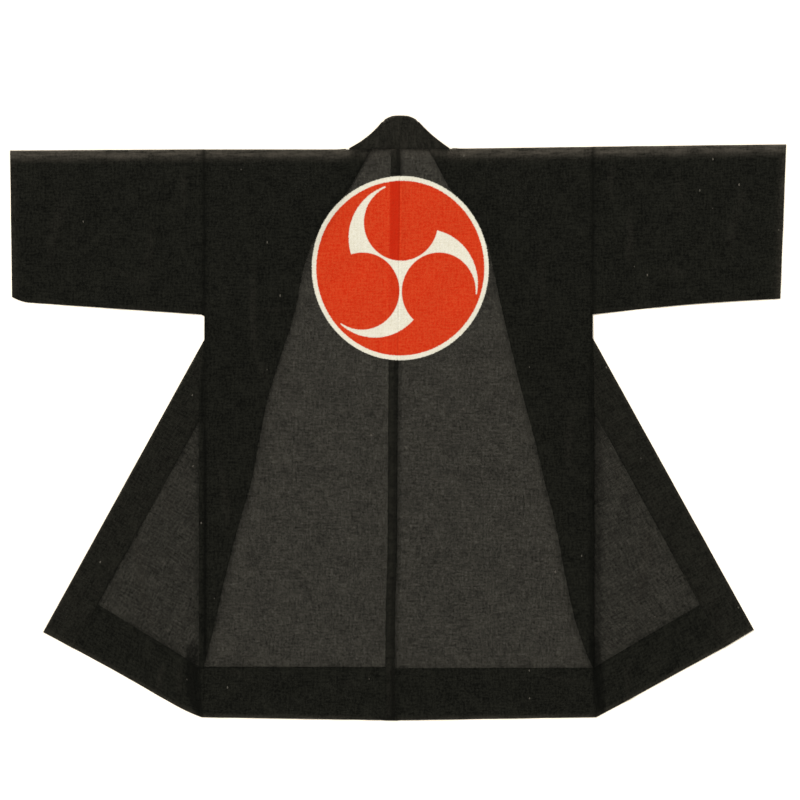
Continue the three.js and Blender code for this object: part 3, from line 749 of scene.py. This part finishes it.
def shape_neck(s):
    """Bends the collar's two folds at the neck: the slanting one above and the one that lies between back and front."""
    s.pack()
    P = s.P
    side, out, down = np.sign(P[:, 0]), np.abs(P[:, 0]), P[:, 1]
    above = 4.2 * np.sin(math.pi * clamp01(-down / 46)) * clamp01((out - 12) / 25) * (down < 0)
    fold = 50 + (down - 1.5) * 0.762
    seam = 87 + (down - 3) * 0.36
    reach = np.maximum(seam - fold, 1.0)
    between = 6.0 * np.sin(math.pi * clamp01((down - 1) / 94)) * (1 - ease((out - fold) / reach)) * (down > 1) * (down < 95)
    P[:, 0] -= side * (above + between)
    P[:, 0] += 2.5 * (P[:, 0] < 0) * clamp01(out / 20) * clamp01(-down / 12)  # the left slope is a little steeper
    P[:, 0] -= np.sign(P[:, 0]) * drawn_in(np.abs(P[:, 0]), P[:, 1])


def fold_between(s, upper, lower, toward, steps=5):
    """Joins two double sections across a fold, each point along its own arc."""
    up, lo = s.P[upper], s.P[lower]
    rows = [upper]
    nu = s.N[upper]
    for k in range(1, steps):
        t = k / steps
        a = math.pi * (0.5 - t)
        r, mid = (up[:, 2] - lo[:, 2]) / 2, (up[:, 2] + lo[:, 2]) / 2
        xy = up[:, :2] * (1 - t) + lo[:, :2] * t + toward * (r * math.cos(a))[:, None]
        z = mid + r * math.sin(a)
        # turn each normal about the fold line
        ca, sa = math.cos(math.pi * t), math.sin(math.pi * t)
        side = nu[:, :2] @ toward
        rest = nu[:, :2] - side[:, None] * toward
        nxy = rest + ((side * ca + nu[:, 2] * sa)[:, None]) * toward
        nz = nu[:, 2] * ca - side * sa
        c = s.C[upper] * (1 - t) + s.C[lower] * t
        ids = s.add(xy[:, 0], xy[:, 1], z, cut=(c[:, 0], c[:, 1]), wear=np.full(len(upper), 0.25), seam=0.0)
        s.n[-1] = np.concatenate([nxy, nz[:, None]], 1)
        s.pack()
        rows.append(ids)
    rows.append(lower)
    s.join(rows)


# ------------------------------------------------------------------------------------------------ materials
class Nodes:
    def __init__(self, name):
        self.mat = bpy.data.materials.new(name)
        self.mat.use_nodes = True
        self.t = self.mat.node_tree
        self.t.nodes.clear()

    def new(self, kind, **props):
        n = self.t.nodes.new(kind)
        for k, v in props.items():
            setattr(n, k, v)
        return n

    def put(self, socket, value):
        if isinstance(value, bpy.types.NodeSocket):
            self.t.links.new(value, socket)
        else:
            socket.default_value = value

    def math(self, op, a, b=0.0, c=None, clamp=False):
        n = self.new("ShaderNodeMath", operation=op, use_clamp=clamp)
        self.put(n.inputs[0], a)
        self.put(n.inputs[1], b)
        if c is not None:
            self.put(n.inputs[2], c)
        return n.outputs[0]

    def mix(self, a, b, f):
        n = self.new("ShaderNodeMix", data_type="RGBA")
        self.put(n.inputs[0], f)
        self.put(n.inputs[6], a)
        self.put(n.inputs[7], b)
        return n.outputs[2]

    def ramp(self, v, lo, hi, to_lo=0.0, to_hi=1.0, soft=True):
        n = self.new("ShaderNodeMapRange", interpolation_type="SMOOTHSTEP" if soft else "LINEAR")
        self.put(n.inputs[0], v)
        for i, x in enumerate((lo, hi, to_lo, to_hi)):
            n.inputs[i + 1].default_value = x
        return n.outputs[0]

    def noise(self, vec, scale, detail=2.0, rough=0.5, kind="Fac"):
        n = self.new("ShaderNodeTexNoise")
        self.put(n.inputs["Vector"], vec)
        n.inputs["Scale"].default_value = scale
        n.inputs["Detail"].default_value = detail
        n.inputs["Roughness"].default_value = rough
        return n.outputs[kind]

    def stretch(self, vec, x, y, z=1.0):
        n = self.new("ShaderNodeVectorMath", operation="MULTIPLY")
        self.put(n.inputs[0], vec)
        n.inputs[1].default_value = (x, y, z)
        return n.outputs[0]

    def attribute(self, name, out="Fac"):
        n = self.new("ShaderNodeAttribute", attribute_type="GEOMETRY", attribute_name=name)
        return n.outputs[out]


BLACK = (0.0081, 0.0082, 0.0061, 1)
DEEP = (0.0029, 0.0030, 0.0022, 1)
# pale tone of rubbed cloth, also used for painted highlight
WORN_AND_LIT = (0.0810, 0.0705, 0.0545, 1)
LINT = (0.14, 0.125, 0.10, 1)
RED = (0.455, 0.0240, 0.0042, 1)
UNDYED = (0.62, 0.59, 0.49, 1)
PER_FACE = 0.630  # alpha of each face of the thin shell: a closed sheet has two

# The crest: three commas in a ring, by the figure's usual construction. Each head's centre lies halfway out. Each arm is
# the crescent between a head and a circle two fifths larger, which touches the head where it is furthest out.
# Lengths are shares of the outer radius.
HALFWAY, HEAD = 0.50, 0.42
CREST = dict(centre=(0.003, -0.2015), radius=(0.150, 0.156), ring=0.95, head=HEAD, head_at=(0.0, HALFWAY), arc=1.4 * HEAD,
             arc_at=(0.0, HALFWAY - 0.4 * HEAD), hub=0.2)


def crest_masks(g, cut):
    """The dyed disc, and the white left undyed in it."""
    sep = g.new("ShaderNodeSeparateXYZ")
    g.put(sep.inputs[0], cut)
    wob = g.noise(g.stretch(cut, 1, 1, 1), 420, 1.0)
    x = g.math("DIVIDE", g.math("SUBTRACT", sep.outputs[0], CREST["centre"][0]), CREST["radius"][0])
    y = g.math("DIVIDE", g.math("SUBTRACT", sep.outputs[1], CREST["centre"][1]), CREST["radius"][1])
    r = g.math("SQRT", g.math("ADD", g.math("MULTIPLY", x, x), g.math("MULTIPLY", y, y)))
    fuzz = g.math("MULTIPLY", g.math("SUBTRACT", wob, 0.5), 0.016)
    r = g.math("ADD", r, fuzz)
    ang = g.math("ARCTAN2", y, x)
    a0 = math.radians(47)
    third = 2 * math.pi / 3
    k = g.math("SUBTRACT", ang, a0)
    k = g.math("ADD", g.math("WRAP", k, third, 0.0), a0)
    px = g.math("MULTIPLY", r, g.math("COSINE", k))
    py = g.math("MULTIPLY", r, g.math("SINE", k))

    def off(cx, cy, rad):
        dx, dy = g.math("SUBTRACT", px, cx), g.math("SUBTRACT", py, cy)
        return g.math("SUBTRACT", g.math("SQRT", g.math("ADD", g.math("MULTIPLY", dx, dx), g.math("MULTIPLY", dy, dy))), rad)

    hx, hy = CREST["head_at"]
    c, n = math.cos(third), math.sin(third)
    one = off(hx, hy, CREST["head"])
    two = off(hx * c - hy * n, hx * n + hy * c, CREST["head"])
    arc = g.math("MULTIPLY", off(CREST["arc_at"][0], CREST["arc_at"][1], CREST["arc"]), -1.0)
    # the tails end bluntly, short of the ring
    arc = g.math("MINIMUM", arc, g.math("SUBTRACT", 0.125, g.math("ADD", px, g.math("MULTIPLY", py, 0.35))))
    inner = g.math("MAXIMUM", arc, g.math("SUBTRACT", CREST["hub"], r))
    white = g.math("MINIMUM", g.math("MINIMUM", one, two), inner)
    ring = g.math("SUBTRACT", r, CREST["ring"])
    white = g.math("MAXIMUM", white, ring)
    soft = 0.006
    white = g.ramp(white, -soft, soft)
    disc = g.ramp(r, 1 + soft, 1 - soft)
    return disc, white


def cloth_material(name, crest=False):
    g = Nodes(name)
    cut = g.attribute("cut", "Vector")
    wear, seam = g.attribute("wear"), g.attribute("seam")
    # uneven threads both ways, mottling, and the plain weave itself
    warp = g.noise(g.stretch(cut, 1, 0.18), 290, 2.0, 0.7)
    weft = g.noise(g.stretch(cut, 0.16, 1), 310, 2.0, 0.7)
    grain = g.noise(cut, 280, 3.0, 0.75)
    cloudy = g.noise(cut, 28, 4.0, 0.65)
    thread = g.math("ADD", g.math("MULTIPLY", g.math("ADD", warp, weft), 0.25), g.math("MULTIPLY", grain, 0.50))
    waves = []
    for axis in (0, 1):
        w = g.new("ShaderNodeTexWave", wave_type="BANDS", bands_direction="XY"[axis], wave_profile="SIN")
        g.put(w.inputs["Vector"], cut)
        w.inputs["Scale"].default_value = 1000 / 0.85 / 6.2832 * 0.3142  # one thread about each 0.85 mm
        w.inputs["Distortion"].default_value = 0.0
        waves.append(w.outputs["Fac"])
    weave = g.math("MULTIPLY", waves[0], waves[1])
    # colour
    tone = g.ramp(thread, 0.43, 0.57, -0.15, 1.15, soft=False)
    base = g.mix(DEEP, (BLACK[0] * 1.66, BLACK[1] * 1.64, BLACK[2] * 1.60, 1), g.math("SUBTRACT", g.math("ADD", g.math("MULTIPLY", tone, 0.65), g.math("MULTIPLY", cloudy, 1.0)), 0.365, clamp=True))
    # paler where the cloth is rubbed (hems, cuffs, collar edge), and painted highlight along the shoulder fold and the
    # crease tops
    pale_noise = g.noise(g.stretch(cut, 0.3, 1.6), 75, 3.0, 0.7)
    blend = g.math("MULTIPLY", wear, g.ramp(g.math("ADD", g.math("MULTIPLY", pale_noise, 0.9), g.math("MULTIPLY", thread, 0.9)), 0.66, 1.14, 0.03, 1.16, soft=False), clamp=True)
    base = g.mix(base, WORN_AND_LIT, blend)
    # painted shade along seams, turnings, fold edges, the neck and creases, and beside the body's raised edge: nearly
    # black, with the cloth a little denser there
    painted_shade = g.math("MULTIPLY", seam, g.ramp(grain, 0.2, 0.8, 0.75, 1.0, soft=False), clamp=True)
    base = g.mix(base, (0.0012, 0.0013, 0.0009, 1), g.math("MULTIPLY", painted_shade, 0.9))
    # a few pale flecks of lint
    v = g.new("ShaderNodeTexVoronoi", voronoi_dimensions="2D", feature="F1", distance="EUCLIDEAN")
    g.put(v.inputs["Vector"], g.stretch(cut, 1.5, 0.7))
    v.inputs["Scale"].default_value = 30
    v.inputs["Randomness"].default_value = 1.0
    pick = g.new("ShaderNodeSeparateColor")
    g.put(pick.inputs[0], v.outputs["Color"])
    rare = g.math("GREATER_THAN", pick.outputs[0], 0.95)
    size = g.ramp(pick.outputs[1], 0, 1, 0.022, 0.052, soft=False)
    fleck = g.math("MULTIPLY", g.math("LESS_THAN", v.outputs["Distance"], size), rare)
    base = g.mix(base, LINT, g.math("MULTIPLY", fleck, 0.65))
    along = g.new("ShaderNodeSeparateXYZ")
    g.put(along.inputs[0], cut)
    # the cloth is a little closer at the fronts, and opener towards the shoulders
    dense = g.ramp(along.outputs[1], -0.9, 0.1, 0.010, -0.006, soft=False)
    dense = g.math("ADD", dense, g.ramp(along.outputs[1], 0.0, 0.3, 0.0, 0.050))
    alpha = g.math("SUBTRACT", PER_FACE + 0.29 + 0.045, g.math("ADD", g.math("MULTIPLY", thread, 0.58), g.math("MULTIPLY", cloudy, 0.09)))
    alpha = g.math("ADD", alpha, dense)
    alpha = g.math("ADD", alpha, g.math("MULTIPLY", blend, 0.02))
    alpha = g.math("ADD", alpha, g.math("MULTIPLY", painted_shade, 0.12), clamp=True)
    if crest:
        disc, white = crest_masks(g, cut)
        sep = g.new("ShaderNodeSeparateXYZ")
        g.put(sep.inputs[0], cut)
        # painted shade in the red where the centre-back turnings lie beneath the crest
        band_shade = g.math("MULTIPLY", g.math("MULTIPLY", g.ramp(sep.outputs[0], -0.0185, -0.0150), g.ramp(sep.outputs[0], 0.0008, -0.0008)), g.ramp(sep.outputs[1], -0.215, -0.180, 0.35, 1.0))
        red = g.mix((RED[0] * 1.03, RED[1] * 1.75, RED[2] * 2.5, 1), (RED[0] * 0.89, RED[1] * 0.75, RED[2] * 0.75, 1), g.ramp(thread, 0.57, 0.43, 0.0, 1.0, soft=False))
        red = g.mix(red, (RED[0] * 0.82, RED[1] * 0.48, RED[2] * 0.5, 1), g.math("MULTIPLY", band_shade, 0.8))
        pale = g.mix(UNDYED, (UNDYED[0] * 0.8, UNDYED[1] * 0.78, UNDYED[2] * 0.72, 1), g.ramp(thread, 0.6, 0.38, 0.0, 1.0, soft=False))
        dye = g.mix(red, pale, white)
        base = g.mix(base, dye, disc)
        alpha = g.math("ADD", alpha, g.math("MULTIPLY", disc, 0.36), clamp=True)
    height = g.math("ADD", g.math("MULTIPLY", weave, 0.12), g.math("MULTIPLY", thread, 1.0))
    bump = g.new("ShaderNodeBump")
    bump.inputs["Strength"].default_value = 0.7
    bump.inputs["Distance"].default_value = 0.0011
    g.put(bump.inputs["Height"], height)
    b = g.new("ShaderNodeBsdfPrincipled")
    g.put(b.inputs["Base Color"], base)
    g.put(b.inputs["Roughness"], g.ramp(thread, 0.40, 0.60, 0.98, 0.88, soft=False))
    b.inputs["Specular IOR Level"].default_value = 0.03
    b.inputs["Sheen Weight"].default_value = 0.02
    b.inputs["Sheen Roughness"].default_value = 0.6
    b.inputs["Sheen Tint"].default_value = (0.5, 0.47, 0.42, 1)
    g.put(b.inputs["Alpha"], alpha)
    g.put(b.inputs["Normal"], bump.outputs[0])
    o = g.new("ShaderNodeOutputMaterial")
    g.t.links.new(b.outputs[0], o.inputs[0])
    return g.mat


# ------------------------------------------------------------------------------------------------ pieces
body_cloth = cloth_material("dark_cloth_crest", crest=True)
plain_cloth = cloth_material("dark_cloth")
collar_cloth = cloth_material("collar_cloth")

made = {}
for side in ("left", "right"):
    made["body_" + side] = (body(side), body_cloth, "dark_cloth")
    made["sleeve_" + side] = (sleeve(side), plain_cloth, "dark_cloth")
made["collar"] = (collar(), collar_cloth, "collar_cloth")
for node, (sheet, mat, slot) in made.items():
    ob = sheet.mesh(node.replace("body", "coat_body").replace("sleeve", "coat_sleeve").replace("collar", "coat_collar"))
    ob.data.materials.append(mat)
    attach(ob, "root")
    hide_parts(node)

# ------------------------------------------------------------------------------------------------ floor, light, camera
me = bpy.data.meshes.new("floor")
me.from_pydata([(-6, -6, 0), (6, -6, 0), (6, 6, 0), (-6, 6, 0)], [], [(0, 1, 2, 3)])
floor = bpy.data.objects.new("floor", me)
bpy.context.scene.collection.objects.link(floor)
g = Nodes("floor")
b = g.new("ShaderNodeBsdfPrincipled")
b.inputs["Base Color"].default_value = (0.96, 0.87, 0.72, 1)  # cream, lit past white
b.inputs["Roughness"].default_value = 1.0
b.inputs["Specular IOR Level"].default_value = 0.0
o = g.new("ShaderNodeOutputMaterial")
g.t.links.new(b.outputs[0], o.inputs[0])
me.materials.append(g.mat)

world = bpy.data.worlds.new("studio")
bpy.context.scene.world = world
world.use_nodes = True
world.node_tree.nodes["Background"].inputs[0].default_value = (1, 1, 1, 1)
world.node_tree.nodes["Background"].inputs[1].default_value = 1.0
# the surroundings are only a pale backdrop: the light is a broad soft source overhead and a key from the upper left
world.cycles.sampling_method = "NONE"
world.cycles_visibility.diffuse = False
world.cycles_visibility.glossy = False
for name, power, angle, turn in (("fill", 2.25, 150, (0, 0, 0)), ("key", 4.1, 24, (-38, -38, 0))):
    sun = bpy.data.lights.new(name, "SUN")
    sun.energy = power
    sun.angle = math.radians(angle)
    sun_ob = bpy.data.objects.new(name, sun)
    sun_ob.rotation_euler = tuple(math.radians(v) for v in turn)
    bpy.context.scene.collection.objects.link(sun_ob)

scene = bpy.context.scene
scene.view_settings.view_transform = "Standard"
scene.view_settings.look = "None"
scene.cycles.transparent_max_bounces = 48
scene.cycles.max_bounces = 6

# straight down from above, the photograph's 800 pixels spanning 1355 mm of the surface
cam = bpy.data.cameras.new("camera")
cam.lens, cam.sensor_width = 85, 36
cam_ob = bpy.data.objects.new("camera", cam)
cam_ob.location = (0.00255, (SHIFT_Y - 425.0) / 1000, 1.3555 * 85 / 36 + 0.002)
cam_ob.rotation_euler = (0, 0, 0)
bpy.context.scene.collection.objects.link(cam_ob)
scene.camera = cam_ob
